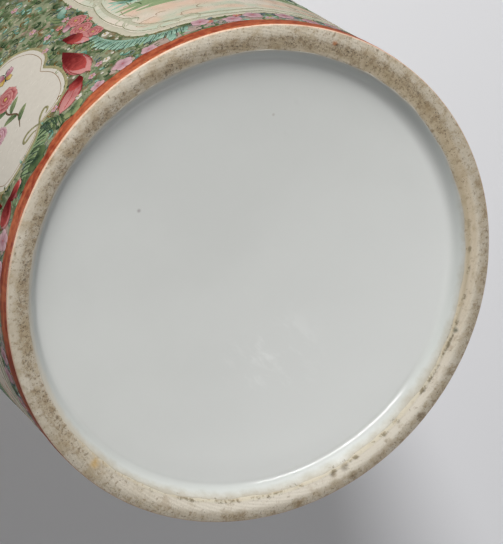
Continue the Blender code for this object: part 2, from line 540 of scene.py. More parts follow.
def turned(name, profile, material, replaced, relief, turns=512):
    """Turn a (radius, height) profile about Z; relief moves its points, given (angle, r, z)."""
    profile = np.array(profile)
    angle = np.arange(turns) * tau / turns
    turn, r = np.meshgrid(angle, profile[:, 0], indexing="ij")
    r, z = relief(turn, r, np.broadcast_to(profile[:, 1], r.shape))
    vertices = np.stack((r * np.sin(turn), -r * np.cos(turn), z), axis=2).reshape(-1, 3)
    faces = grid_faces(turns, len(profile), wrap_rows=True)
    return add_mesh(name, vertices, faces, material, (replaced,))


def arc(centre, half_width, half_height, start, end, steps=10):
    """Points of an ellipse; 0 degrees is outward and 90 degrees is up."""
    angles = np.radians(np.linspace(start, end, steps + 1))
    return [(centre[0] + half_width * cos(a), centre[1] + half_height * sin(a)) for a in angles]


def run(start, end, steps):
    """Points of a straight run, without its last one."""
    return [tuple(np.array(start) + (np.array(end) - np.array(start)) * k / steps) for k in range(steps)]


CREST_RADIUS = 48.1 * MM       # where the ring touches what it stands on
LIP_RADIUS = 45.9 * MM         # where the hollow of the recess begins
HOLLOW_WIDTH = 3.1 * MM        # from there in to the flat floor of the recess
GLAZE_LINE = 45.6 * MM         # where the glaze of the recess ends on the ring


def lip_shift(turn):
    """How much wider the bare ring is on its right side."""
    return MM * np.maximum(np.cos(turn - radians(85)), 0)


def foot_height(r, turn=0):
    """Height of the foot's underside: a crowned ring, then a hollow that is steepest at the glaze line."""
    crown = 0.055 / MM * np.maximum(r - CREST_RADIUS, 0) ** 2
    lip = 0.19 * (np.hypot(np.maximum(CREST_RADIUS - r, 0), 0.9 * MM) - 0.9 * MM)
    width = HOLLOW_WIDTH + 0.8 * lip_shift(turn)
    dip = np.clip((LIP_RADIUS - lip_shift(turn) - r) / width, 0, 1)
    hollow = 1 - (1 - dip ** 1.6) ** 2.5
    return crown + lip * (1 - hollow) + RECESS_DEPTH * hollow


def glaze_wander(turn):
    """How far the glaze line strays: wider at the front, with small runs all round."""
    runs = 0.08 * np.sin(9 * turn) + 0.07 * np.sin(23 * turn + 1)
    runs = runs + 0.06 * np.sin(47 * turn + 2) * np.sin(3 * turn)
    return (0.22 * np.cos(turn - radians(20)) + runs) * MM - 0.9 * lip_shift(turn)


def add_foot_ring(material):
    """The bare ring: crowned where it stands, with a soft outer corner under the red band."""
    side_radius, corner = BARE_RADIUS - 0.02 * MM, 0.18 * MM
    corner_height = foot_height(side_radius - corner)
    profile = [(side_radius - 0.3 * MM, BAND_BOTTOM + 0.5 * MM), (side_radius, BAND_BOTTOM + 0.12 * MM)]
    profile += arc((side_radius - corner, corner_height + corner), corner, corner, 0, -70, 6)
    inward = np.linspace(side_radius - 1.6 * corner, GLAZE_LINE - 2.2 * MM, 44)
    profile += [(r, foot_height(r)) for r in inward]

    def tooled(turn, r, z):
        chatter = 0.012 * np.sin(90 * turn + r / MM * 9) + 0.01 * np.sin(37 * turn)
        return r, np.maximum(z + foot_height(r, turn) - foot_height(r) + chatter * MM, 0)

    return turned("foot_ring_bare", profile, material, "foot_ring", tooled, 720)


def add_base_glaze(material):
    """The glazed recess: a rolled edge on the ring, a soft hollow and a faintly uneven floor."""
    roll, thickness, tucked = 0.2 * MM, 0.03 * MM, 0.05 * MM
    floor_radius = LIP_RADIUS - HOLLOW_WIDTH
    profile = [(GLAZE_LINE - roll * k * k, 0) for k in (0, 0.25, 0.5, 0.75, 1)]
    profile += run((GLAZE_LINE - 1.4 * roll, 0), (floor_radius, 0), 32)
    profile += run((floor_radius, 0), (0, 0), 120) + [(0, 0)]
    grit = ((63.8, 28.7, 0.5, 0.05), (64.8, 35, 0.45, 0.05), (150, 18, 0.4, 0.03), (-70, 33, 0.4, 0.03))

    def uneven(turn, r, z):
        near_edge = np.clip((r - floor_radius) / (GLAZE_LINE - floor_radius), 0, 1)
        rolled = np.sqrt(1 - (1 - np.clip((GLAZE_LINE - r) / roll, 0, 1)) ** 2)
        moved = r + near_edge * glaze_wander(turn)
        z = foot_height(moved, turn) + tucked - (tucked + thickness) * rolled
        x, y = r * np.sin(turn) / MM, -r * np.cos(turn) / MM
        inside = np.clip((floor_radius - r) / (5 * MM), 0, 1)
        swell = 0.62 * (1 - (r / floor_radius) ** 2) - 0.16
        swell = swell + 0.02 * np.sin(x * 0.17 + 0.6) * np.cos(y * 0.13) + 0.01 * np.sin(x * 0.41 - y * 0.33)
        for bearing, away, size, height in grit:
            angle = radians(bearing)
            gap = np.hypot(x - away * sin(angle), y + away * cos(angle))
            swell = swell - height * np.exp(-(gap / size) ** 2)
        return moved, z + swell * inside * MM

    return turned("recess_glaze", profile, material, "base_glaze", uneven, 560)


def add_inner_glaze(material):
    """The glazed inside: faint throwing rings up the wall and a turned-in floor corner."""
    top, radius, corner = RIM_BOTTOM + 1.2 * MM, CAVITY_RADIUS, 4 * MM
    profile = run((LINER_RADIUS, CAVITY_FLOOR - 0.3 * MM), (LINER_RADIUS, top), 8)
    profile += run((LINER_RADIUS - 0.1 * MM, top), (radius, top - 0.2 * MM), 2)
    profile += run((radius, top - 0.3 * MM), (radius, CAVITY_FLOOR + corner), 120)
    profile += arc((radius - corner, CAVITY_FLOOR + corner), corner, corner, 0, -90, 10)
    profile += run((radius - corner, CAVITY_FLOOR), (0, CAVITY_FLOOR), 40)[1:] + [(0, CAVITY_FLOOR)]
    profile.reverse()

    def thrown(turn, r, z):
        wall = (r > radius - 0.01 * MM) & (r < radius + 0.01 * MM)
        rings = 0.05 * np.sin(z / MM * 0.9 + 0.4 * np.sin(turn)) + 0.03 * np.sin(z / MM * 2.3 + turn)
        return np.where(wall, r + rings * MM - 0.08 * MM, r), z

    return turned("lining_glaze", profile, material, "inner_glaze", thrown, 384)


def add_rim(material):
    """The red rim: it wraps over the rounded lip."""
    low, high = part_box("rim_band")
    inner = CAVITY_RADIUS
    centre = ((RADIUS + inner) / 2, high.z - 1.85 * MM)
    half = (RADIUS - inner) / 2
    profile = [(RADIUS - 0.35 * MM, low.z), (RADIUS - 0.08 * MM, low.z + 0.05 * MM)]
    profile += run((RADIUS, low.z + 0.2 * MM), (RADIUS, centre[1]), 6)
    profile += arc(centre, half, 1.85 * MM, 0, 180, 28)
    profile += [(inner, high.z - 2.2 * MM), (inner + 0.35 * MM, high.z - 2.4 * MM)]
    profile.reverse()

    def brushed(turn, r, z):
        wander = 0.1 * MM * (1 + np.sin(9 * turn) * np.sin(4 * turn + 1))
        return r, np.where(z < low.z + 0.3 * MM, z + wander, z)

    return turned("rim_enamel", profile, material, "rim_band", brushed)


def add_foot_band(material):
    """The red band over the foot: brushed on, so its edges wander and its face is slightly domed."""
    low, high, back = BAND_BOTTOM, BAND_TOP, RADIUS - 0.33 * MM
    middle, half = (low + high) / 2, (high - low) / 2
    profile = [(back, high), (RADIUS - 0.12 * MM, high - 0.04 * MM)]
    profile += run((RADIUS - 0.04 * MM, high - 0.2 * MM), (RADIUS, middle), 5)
    profile += run((RADIUS, middle), (RADIUS - 0.02 * MM, low + 0.12 * MM), 5)
    profile += [(RADIUS - 0.06 * MM, low + 0.02 * MM), (back, low)]

    def brushed(turn, r, z):
        upper, lower = np.clip((z - middle) / half, 0, 1), np.clip((middle - z) / half, 0, 1)
        wander = 0.2 * np.sin(17 * turn) + 0.16 * np.sin(31 * turn + 1.3) + 0.1 * np.sin(67 * turn + 0.2)
        slip = 0.07 * np.sin(11 * turn + 2) + 0.05 * np.sin(29 * turn)
        x = ((turn - UNIT_START) * RADIUS / MM + 20) % UNIT_WIDTH - 20
        wander = wander - np.exp(-((x + 3.6) / 3) ** 4) - 0.85 * np.exp(-((x - 8) / 2.5) ** 4)
        return r, z + (wander - 0.15) * upper * MM + (slip - 0.1) * lower * MM

    return turned("foot_band_enamel", profile, material, "foot_band", brushed, 1024)


def add_ground(material):
    """The painted ground that carries the raised enamels."""
    bottom, top = BAND_TOP - 1.7 * MM, RIM_BOTTOM + 0.5 * MM
    profile = run((GROUND_RADIUS, top), (GROUND_RADIUS, bottom), 60) + [(GROUND_RADIUS, bottom)]

    def thrown(turn, r, z):
        return r + 0.01 * MM * np.sin(z / MM * 0.5 + 2 * turn), z

    return turned("ground_enamel", profile, material, "enamel_field", thrown)


# ---------------------------------------------------------------- raised enamels

class Enamel:
    """Raised enamel of one colour, gathered as grids and built as one mesh."""

    def __init__(self, name, material, level):
        self.name = name
        self.material = material
        self.level = level
        self.vertices = []
        self.shades = []
        self.faces = []
        self.count = 0

    def add(self, points, rise, shade, wrap_rows=False):
        """points: rows x columns x 2 in unrolled mm; rise: mm above the level; shade: 0 to 1."""
        rows, columns = points.shape[:2]
        rise, shade = (np.broadcast_to(a, (rows, columns)) for a in (rise, shade))
        angle = UNIT_START + points[..., 0] * MM / RADIUS
        r = GROUND_RADIUS + (self.level + rise) * MM
        grid = np.stack((r * np.sin(angle), -r * np.cos(angle), points[..., 1] * MM), axis=2)
        faces = grid_faces(rows, columns, wrap_rows=wrap_rows, start=self.count)
        along = points[1, columns // 2] - points[0, columns // 2]
        across = points[0, columns // 2 + 1] - points[0, columns // 2 - 1]
        if along[0] * across[1] - along[1] * across[0] > 0:
            faces = faces[:, ::-1]
        self.vertices.append(grid.reshape(-1, 3))
        self.shades.append(shade.reshape(-1))
        self.faces.append(faces)
        self.count += rows * columns

    def build(self):
        piece = add_mesh(self.name, np.concatenate(self.vertices), np.concatenate(self.faces),
                         self.material)
        shade = piece.data.attributes.new("shade", "FLOAT", "POINT")
        shade.data.foreach_set("value", np.concatenate(self.shades).astype(np.float32))
        return piece


def smooth(points, steps=8):
    """A Catmull-Rom curve through the points."""
    points = np.array(points, float)
    padded = np.vstack((2 * points[0] - points[1], points, 2 * points[-1] - points[-2]))
    t = np.linspace(0, 1, steps, endpoint=False)[:, None]
    pieces = []
    for a, b, c, d in zip(padded, padded[1:], padded[2:], padded[3:]):
        square, cube = 2 * a - 5 * b + 4 * c - d, 3 * b - a - 3 * c + d
        pieces.append(0.5 * (2 * b + (c - a) * t + square * t ** 2 + cube * t ** 3))
    return np.vstack(pieces + [points[-1]])


def sideways(path, closed=False):
    """Unit normals of a path."""
    if closed:
        along = np.roll(path, -1, axis=0) - np.roll(path, 1, axis=0)
    else:
        along = np.gradient(path, axis=0)
    along = along / np.maximum(np.linalg.norm(along, axis=1, keepdims=True), 1e-9)
    return np.stack((-along[:, 1], along[:, 0]), axis=1)


def left_of(along):
    return np.array((-along[1], along[0]))


def turn_to(bearing, length, start=(0, 0)):
    """The point that far from start on the unrolled wall; bearing 0 is to the right."""
    return np.array(start) + np.array((cos(radians(bearing)), sin(radians(bearing)))) * length


# Where the points across a stroke lie, and how high its rounded back stands there
ACROSS = np.array([-1, -0.8, -0.4, 0, 0.4, 0.8, 1])
ROUND = np.sqrt(1 - ACROSS ** 2) * 1.25 - 0.25


def widened(path, half, closed=False):
    """Rows of points across a path, half its width to either side."""
    return path[:, None] + sideways(path, closed)[:, None] * (half[:, None] * ACROSS)[:, :, None]


class Pen:
    """Paints in any enamel in one unit of the decoration, or in a mirrored copy of it. Points are
    millimetres on the unrolled wall, from an origin."""

    def __init__(self, coats, unit, flip_side=False, flip_up=False, origin=(0, 0)):
        self.coats = coats
        self.unit = unit
        self.flip_side = flip_side
        self.flip_up = flip_up
        self.origin = origin

    def lay(self, points):
        points = np.asarray(points, float) + self.origin
        across, up = points[..., 0], points[..., 1]
        if self.flip_side:
            across = UNIT_WIDTH - across
        if self.flip_up:
            up = 2 * MIDDLE - up
        return np.stack((across + self.unit * UNIT_WIDTH, up), axis=-1)

    def line(self, tone, path, width, rise=0.06, taper=True, closed=False, shade=0.5):
        """A brushed or trailed line with a rounded back."""
        path = self.lay(path)
        t = np.linspace(0, 1, len(path))
        full = np.clip(np.sin(pi * t), 0, 1) ** 0.5 * 0.85 + 0.15 if taper else np.ones_like(t)
        points = widened(path, width / 2 * full, closed)
        self.coats[tone].add(points, ROUND[None] * rise, shade, wrap_rows=closed)

    def petal(self, tone, root, tip, width, rise=0.06, bend=0, full=1, shades=(0, 1), notch=0, lift=0,
              edge=0.5):
        """A petal or leaf from root to tip, darker along its edge. full below 1 puts its widest part
        nearer the tip."""
        root, tip = np.array(root, float), np.array(tip, float)
        t = np.linspace(0, 1, 10)
        along = tip - root
        path = root + along * t[:, None] + left_of(along) * (bend * np.sin(pi * t))[:, None]
        points = widened(path, width / 2 * np.clip(np.sin(pi * t ** (1 / full)), 0, 1) ** 0.7)
        cleft = (np.cos(ACROSS * 2.2 * pi) * 0.5 + 0.5)[None, :, None]
        points = points - along * (notch * t ** 4)[:, None, None] * cleft
        height = ROUND[None] * rise * np.clip(np.sin(pi * t) * 1.6, 0, 1)[:, None] + lift
        shade = shades[0] + (shades[1] - shades[0]) * t[:, None] - edge * (np.abs(ACROSS) > 0.9)[None]
        self.coats[tone].add(self.lay(points), height, shade)

    def patch(self, tone, outline, centre, rings, shade):
        """A flat area inside a closed outline that can be seen whole from its centre."""
        spread = np.append(np.linspace(0.02, 0.985, rings), 1)
        points = centre + (outline[:, None] - centre) * spread[None, :, None]
        height = np.where(spread < 1, 0.02, -0.02)
        value = shade(points) if callable(shade) else shade
        self.coats[tone].add(self.lay(points), height, value, wrap_rows=True)

    def dot(self, tone, centre, radius, rise=0.08):
        """A domed spot."""
        angle = np.arange(12) * tau / 12
        ring = np.stack((np.cos(angle), np.sin(angle)), axis=1) * radius
        spread = np.array([0.05, 0.5, 0.8, 1])
        points = np.array(centre) + ring[:, None] * spread[None, :, None]
        dome = np.sqrt(1 - spread ** 2) * rise - 0.01
        self.coats[tone].add(self.lay(points), dome, 0.5, wrap_rows=True)

    def leaf(self, root, tip, width, bend=0.1, tone="leaf"):
        """A pointed leaf with a midrib."""
        self.petal(tone, root, tip, width, rise=0.07, bend=bend, shades=(0.15, 0.85))
        root, tip = np.array(root, float), np.array(tip, float)
        along = tip - root
        t = np.linspace(0.05, 0.9, 7)[:, None]
        rib = root + along * t + left_of(along) * bend * np.sin(pi * t)
        self.line("outline", rib, 0.16 + width * 0.03, rise=0.03)

    def blossom(self, tone, centre, reach, turn, width, **style):
        """Five petals round a point."""
        for k in range(5):
            self.petal(tone, centre, turn_to(72 * k + turn, reach, centre), width, **style)


def spiral(start, heading, length, curl, points=18):
    """A tendril from start: it sets off along heading in degrees and curls ever tighter."""
    t = np.linspace(0, 1, points)
    angle = radians(heading) + curl * t ** 1.6
    step = length / (points - 1) * np.stack((np.cos(angle), np.sin(angle)), axis=1)
    return np.array(start) + np.vstack((np.zeros(2), np.cumsum(step[:-1], axis=0)))


def inside(points, outline):
    """Whether each point is inside a closed outline."""
    x, y = points[..., 0], points[..., 1]
    result = np.zeros(x.shape, bool)
    for (x0, y0), (x1, y1) in zip(outline, np.roll(outline, -1, axis=0)):
        if y0 != y1:
            crosses = ((y0 > y) != (y1 > y)) & (x < (x1 - x0) * (y - y0) / (y1 - y0) + x0)
            result ^= crosses
    return result


# ---------------------------------------------------------------- layout of one unit, in mm

PANEL_CENTRE = (UNIT_WIDTH / 2, MIDDLE)
PANEL_HALF = (26.2, 50.6)
PANEL_CORNER = 9.5
PANEL_LOW_LEFT = (PANEL_CENTRE[0] - PANEL_HALF[0], PANEL_CENTRE[1] - PANEL_HALF[1])
LEAVES = ("turquoise", "leaf")


def lobe(start, end, bulge, steps=10):
    """A run from start to end that bows out to its right by bulge."""
    start, end = np.array(start), np.array(end)
    along = end - start
    out = np.array((along[1], -along[0])) / np.linalg.norm(along)
    t = np.linspace(0, 1, steps, endpoint=False)[:, None]
    return start + along * t + out * bulge * np.sin(pi * t) ** 0.8


def panel_outline(inset=0):
    """A tall panel whose sides are shallow lobes and whose corners are deep ones."""
    half_width, half_height = PANEL_HALF[0] - inset, PANEL_HALF[1] - inset
    side_lobes, end_lobes = 5, 2
    points = []
    for turn in range(4):
        wide, tall = (half_width, half_height) if turn % 2 == 0 else (half_height, half_width)
        count = end_lobes if turn % 2 == 0 else side_lobes
        angle = turn * pi / 2
        rotate = np.array(((cos(angle), sin(angle)), (-sin(angle), cos(angle))))
        stops = np.linspace(-(wide - PANEL_CORNER), wide - PANEL_CORNER, count + 1)
        for left, right in zip(stops, stops[1:]):
            points.append(lobe((left, -tall), (right, -tall), 1.1) @ rotate)
        points.append(lobe((stops[-1], -tall), (wide, -tall + PANEL_CORNER), 3.4, 14) @ rotate)
    return np.vstack(points) + np.array(PANEL_CENTRE)


def reserve_outline():
    """A white ruyi-shaped reserve, a little lopsided as painted."""
    runs = (
        ((-11.4, 27), (-13.6, 22), (-14, 16.5), (-12.4, 12.8), (-7.2, 10.8), (-1.3, 11.1), (1.7, 13.2)),
        ((1.7, 13.2), (4.7, 12.9), (7.9, 13.4), (10.7, 15.8), (12.2, 20), (12.4, 24.5), (11, 29)),
        ((11, 29), (13.2, 33), (12.6, 39), (9, 43.5), (4.5, 44.6), (2.6, 43.2)),
        ((2.6, 43.2), (3.4, 47), (0.4, 51.5), (-2.6, 47), (-1.8, 43)),
        ((-1.8, 43), (-5, 44.6), (-9.8, 43.2), (-13.2, 38.5), (-13.6, 32.5), (-11.4, 27)),
    )
    return np.vstack([smooth(points, 7)[:-1] for points in runs])


PANEL = panel_outline()
RESERVE = reserve_outline()


# Place from the panel's corner and reach of each soft peach patch behind the border's curls
BLUSHES = ((5.6, 6.6, 2.8, 2.4), (5, 16, 1.7, 4.4), (14.4, 4.9, 4.2, 1.6), (5.2, 25, 1.5, 3.6),
           (22.5, 5.2, 3.2, 1.5), (5, 34.5, 1.7, 4), (10.5, 13.5, 3.4, 4.6), (18, 11, 5, 3), (9.5, 42, 3, 6))


def blushes(points):
    """How peach the panel's wash is: alike in its four quarters, and not at all on the lines between."""
    off_centre = np.abs(points - PANEL_CENTRE)
    from_corner = np.array(PANEL_HALF) - off_centre
    amount = sum(np.exp(-(((from_corner - (x, z)) / (wide, tall)) ** 2).sum(axis=-1))
                 for x, z, wide, tall in BLUSHES)
    return np.clip(amount, 0, 1) * (off_centre > 0).all(axis=-1)


def add_panel(pen):
    """One large panel: a warm wash inside a cream cord, with cloud lobes echoing the cord."""
    pen.patch("panel", PANEL, PANEL_CENTRE, 34, blushes)
    for tone, inset, width, rise, shade in (
            ("cream", 0, 1.5, 0.09, 0.6), ("olive", 0.95, 0.16, 0.03, 0.2), ("olive", -0.85, 0.24, 0.03, 0),
            ("cream", 2.6, 0.7, 0.05, 0.3), ("olive", 3.1, 0.14, 0.02, 0.3)):
        pen.line(tone, panel_outline(inset), width, rise, taper=False, closed=True, shade=shade)


def add_panel_corner(pen):
    """Cloud curls and outlined peach ovals inside a corner of the border."""
    for x, z, heading, length, curl in (
            (9.5, 1.4, 60, 8, -4.2), (9.5, 1.4, 120, 7, 4), (1.2, 9.5, 30, 7.5, 4),
            (1, 9.7, 75, 6.5, -4), (1.2, 26.5, 20, 6, 4), (1.2, 26.7, 80, 5.5, -4.2)):
        path = spiral((x, z), heading, length, curl)
        pen.line("cream", path, 0.75, shade=0.3)
        pen.line("olive", path + (0.35, 0.3), 0.16, rise=0.03, shade=0.1)
    turn = np.arange(3, 19) * tau / 24
    for x, z, wide, tall in (
            (5.6, 6.6, 2.5, 2), (5, 16, 1.5, 3.6), (14.4, 4.9, 3.4, 1.4), (5, 34.5, 1.5, 3.4)):
        ragged = 1 + 0.13 * np.sin(3 * turn + x) + 0.08 * np.sin(7 * turn + z)
        oval = np.stack((wide * np.cos(turn), tall * np.sin(turn)), axis=1) * ragged[:, None]
        pen.line("sepia", oval + (x, z), 0.13, rise=0.02, shade=1)
    for x, z in ((9, 20.5), (10, 9.5), (17, 9), (8.5, 30)):
        pen.line("sepia", spiral((x, z), 70 + 8 * x, 3.4, 3, 10), 0.2, rise=0.02, shade=1)


def add_reserve(pen):
    """The white reserve, its double outline and the two curls over its cleft foot."""
    pen.patch("white", RESERVE, (0, 27), 16, 0.7)
    pen.line("olive", RESERVE, 0.75, rise=0.07, taper=False, closed=True, shade=0.5)
    shrunk = (RESERVE - (-0.5, 27)) * (0.9, 0.95) + (-0.5, 27)
    pen.line("sepia", shrunk, 0.16, rise=0.02, taper=False, closed=True, shade=0.8)
    for curl in (
            ((1.9, 12.2), (1.6, 13.8), (-0.8, 15.4), (-2.6, 15.2), (-2.7, 14.1), (-0.6, 13.7), (0.6, 13)),
            ((1.8, 12.4), (2.2, 14.2), (3.6, 15.6), (4.9, 16), (5.2, 15), (4.2, 14.2))):
        pen.line("olive", smooth(curl), 0.7, rise=0.08, shade=0.3)
    pen.line("olive", smooth(((1.5, 42), (0.4, 44.5), (-0.8, 42), (0.3, 39.5))), 0.6, rise=0.07, shade=0.3)


def add_combed_leaf(pen, spine, reach, lean, body, strokes, count):
    """A long leaf combed into barbs along its outer side, with a darker line between barbs."""
    path = smooth(spine, 10)
    outward = sideways(path)
    pen.line(body, path + outward * reach * 0.42, reach * 0.95, rise=0.05, shade=0.6)
    pitch = np.linalg.norm(np.diff(path, axis=0), axis=1).sum() / count
    for k in range(count):
        at = int((k + 0.5) / count * (len(path) - 1))
        out = outward[at]
        along = -left_of(out)
        tip = path[at] + out * reach * (0.9 + 0.25 * sin(k * 2.4)) + along * lean
        pen.petal(strokes[k % len(strokes)], path[at] + out * 0.2, tip, pitch * 0.85, rise=0.07, bend=0.12,
                  shades=(0.1, 0.9))
        aside = along * pitch * 0.5
        gap = np.linspace(path[at] + out * 0.5 + aside, tip + aside, 5)
        pen.line("outline", gap, pitch * 0.32)


PEONY_RINGS = ((8, 0.3, 1, 0.86), (7, 0.16, 0.72, 0.66), (5, 0.05, 0.44, 0.5))


def add_peony(pen, centre, radius, turn=0, pale=False):
    """A full-blown peony: three rings of cupped petals round a crimson heart."""
    for ring, (count, inner, outer, width) in enumerate(PEONY_RINGS):
        for k in range(count):
            angle = turn + 360 * k / count + 24 * ring
            reach = radius * outer * (1 + 0.07 * sin(k * 2.9 + turn))
            pen.petal("mauve" if pale else "rose", turn_to(angle, inner * radius, centre),
                      turn_to(angle, reach, centre), width * radius, rise=0.05, full=0.72, notch=0.12,
                      shades=(-0.25 + 0.12 * ring, 1.1), lift=0.035 * ring)
    for k in range(5):
        tip = turn_to(turn + 72 * k + 20, 0.3 * radius, centre)
        pen.petal("crimson", centre, tip, 0.24 * radius, rise=0.05)
    for k in range(6):
        pen.dot("yellow", turn_to(turn + 60 * k, 0.09 * radius, centre), 0.05 * radius + 0.1)


def add_butterfly(pen, centre, size, turn, tones=("mauve", "yellow")):
    """A butterfly with four spotted wings."""
    centre = np.array(centre, float)
    for side in (1, -1):
        for spread, reach, width, tone in ((38, 1, 0.62, tones[0]), (118, 0.68, 0.5, tones[1])):
            tip = turn_to(turn + side * spread, size * reach, centre)
            pen.petal(tone, centre, tip, size * width, full=0.7, bend=0.08 * side, notch=0.1)
            pen.dot("outline", centre + (tip - centre) * 0.68, size * 0.07)
        feeler = spiral(turn_to(turn, size * 0.3, centre), turn + side * 20, size * 0.7, side * 2, 9)
        pen.line("outline", feeler, 0.18, rise=0.03)
    tail, head = turn_to(turn, -size * 0.45, centre), turn_to(turn, size * 0.35, centre)
    pen.petal("outline", tail, head, size * 0.14, rise=0.09)


def add_corner_spray(pen):
    """What fills the ground beside a panel's corner: combed leaf, rose spray and petals."""
    spine = ((23, 26.5), (22.9, 21.5), (24.4, 16.6), (27.8, 12.7), (32.2, 10.6), (35.5, 10.3))
    add_combed_leaf(pen, spine[::-1], 3.4, 0.9, "turquoise", ("turquoise",) * 3 + ("mint",), 30)
    pen.leaf((31.6, 9.6), (30.6, 4.9), 1.9, 0.1, "turquoise")
    pen.leaf((33.6, 9.8), (35.2, 6.4), 1.4, -0.1, "turquoise")
    for x, z, size in ((22.4, 37, 2.5), (21.6, 32.2, 2.7), (22.6, 27.6, 2.3)):
        add_peony(pen, (x, z), size, turn=20 * x)
        pen.petal("mauve", (x - 1.4, z + 0.6), (x - 3.4, z - 1.6), 2, rise=0.07)
    pen.leaf((21, 41), (24, 46.5), 2.1, 0.12, "turquoise")
    for root, tip in (((22.5, 40), (19.5, 45)), ((20.5, 30), (17.2, 27.2)), ((21, 25), (18.6, 21))):
        pen.leaf(root, tip, 2.1, 0.12)


def add_reserve_petals(pen):
    """The peonies and the dark combed leaf that cup the foot of the white reserve."""
    for root, tip, width, bend, heart in (
            ((15.4, 28), (15.7, 12.8), 5.3, -0.02, 0.82), ((17.4, 33), (20.6, 25), 4.4, 0.1, 0.7),
            ((13.8, 14.6), (5.2, 8.9), 4.6, 0.1, 0.42), ((-12.6, 9.6), (-19.4, 8.9), 4.6, 0.08, 0.9),
            ((-13.6, 9.4), (-8.2, 8), 3.2, -0.12, 0.85), ((-15.2, 11.4), (-17.4, 24), 5, 0.08, 0.76)):
        root, along = np.array(root), np.subtract(tip, root)
        pen.petal("rose", root, tip, width, rise=0.09, bend=bend, full=0.8, shades=(0.1, 1.15), notch=0.06)
        pen.petal("crimson", root, root + along * heart, width * 0.78, rise=0.1, bend=bend, full=0.8,
                  shades=(-0.3, 0.9), lift=0.05, edge=-0.25)
        for side in (1, -1):
            vein = root + along * np.linspace(0.25, 0.86, 8)[:, None]
            bow = np.sin(pi * np.linspace(0.15, 0.75, 8))[:, None]
            pen.line("crimson", vein + left_of(along) * side * width / 34 * bow, 0.2, rise=0.09, shade=0.7)
    spine = ((-8.8, 9.2), (-5, 9.9), (-1.4, 10.6), (1.6, 12.4), (3.4, 11.6), (6, 9.4))
    add_combed_leaf(pen, spine[::-1], 4.4, -1.9, "mint", ("dark", "leaf", "dark"), 20)
    for x, z, size, tone in ((-3.6, 6.7, 1, "dark"), (8, 6.7, 0.85, "leaf"), (-9.6, 7, 0.65, "dark")):
        for heading, reach in ((-155, 3.2), (-25, 3.2), (-90, 3.5)):
            tip = turn_to(heading, reach * size, (x, z))
            pen.petal(tone, (x, z), tip, 3 * size, rise=0.08, full=0.66, shades=(0, 1.1), lift=0.06)
            pen.line("outline", np.linspace((x, z), (tip + (x, z)) / 2, 5), 0.2, rise=0.12)


def add_rosette(pen):
    """The peony between the lower and the upper reserve, with leaves all round."""
    for k in range(10):
        root = turn_to(36 * k, 5, (0, MIDDLE))
        pen.leaf(root, turn_to(36 * k + 12, 4.6, root), 2.6, 0.14, LEAVES[k % 2])
    add_peony(pen, (0, MIDDLE), 6.2)


def add_bank(pen):
    """A grassy bank along the foot of a panel, a pierced garden rock on it and irises beside it."""
    for k in range(13):
        z = 0.72 * k - 35.5
        left, right = 3.5 * sin(2.1 * k) - 20.5, 20.5 - 4 * sin(1.3 * k)
        middle = left * 0.6 + right * 0.4
        stroke = smooth(((left, z), (middle, z + 1.1 * sin(k)), (right, z + 0.8 * cos(2 * k))), 14)
        pen.line("turquoise" if k % 3 and k > 5 else "mint", stroke, 1.9, rise=0.03,
                 shade=0.8 + 0.15 * sin(1.9 * k))
    for root, heading, length, width in (
            ((10, -30), 97, 16, 7), ((15.5, -30), 82, 11, 6), ((5, -30), 112, 10, 5),
            ((12.5, -21), 66, 7, 4), ((7.5, -21), 118, 6, 3.6), ((11, -28), 90, 8, 5.5)):
        tip = turn_to(heading, length, root)
        pen.petal("blue", root, tip, width, rise=0.09, full=0.8, bend=0.06, shades=(0.1, 1), notch=0.08)
        pen.line("outline", smooth((root, turn_to(heading + 9, length * 0.5, root), tip)), 0.3, rise=0.1)
        low, high = (turn_to(heading, length * share, root) for share in (0.45, 0.75))
        pen.petal("turquoise", low, high, width * 0.3, rise=0.12, shades=(0, 0.5))
    for k in range(46):
        root = (40 * k / 45 - 20, 2 * sin(k * 2.3) - 31)
        blade = spiral(root, 90 + 26 * sin(k * 1.7), 3 + 0.9 * sin(k * 2.9), 1.2 * sin(k * 4.1), 7)
        pen.line("dark" if k % 3 else "leaf", blade, 0.36)
    for x, reach, tilt in ((-14, 15, 4), (-8, 10, -10), (-18, 9, 12)):
        root = (x, -29.5)
        for k in (-2, -1, 0, 1, 2):
            tip = turn_to(90 + tilt + 17 * k, reach * (0.9 - 0.1 * abs(k)), root)
            pen.leaf(root, tip, 1.5, 0.05 * k, LEAVES[k % 2])
        add_peony(pen, turn_to(90 + tilt, reach + 1.5, root), 3.4, turn=10 * x)


def add_bird(pen, at, size, heading):
    """A small bird with a long tail."""
    at, along, across = np.array(at), turn_to(heading, size), turn_to(heading - 90, size)
    for k in (-1, 0, 1):
        tail = at - along * (1.5 - 0.12 * abs(k)) + across * 0.16 * k
        pen.petal("blue" if k else "crimson", at - along * 0.3, tail, size * 0.17)
    body, wing = at + along * 0.62, at - along * 0.6 + across * 0.34
    pen.petal("turquoise", at - along * 0.55, body, size * 0.52, rise=0.08, shades=(0.2, 0.9))
    pen.petal("blue", at + along * 0.3, wing, size * 0.4, rise=0.1, shades=(0, 0.6), lift=0.02)
    pen.dot("rose", at + along * 0.55, size * 0.19, rise=0.1)
    pen.dot("outline", body + across * 0.03, size * 0.05, rise=0.16)
    pen.line("outline", np.linspace(at + along * 0.7, at + along * 0.98, 4), size * 0.08, rise=0.08)


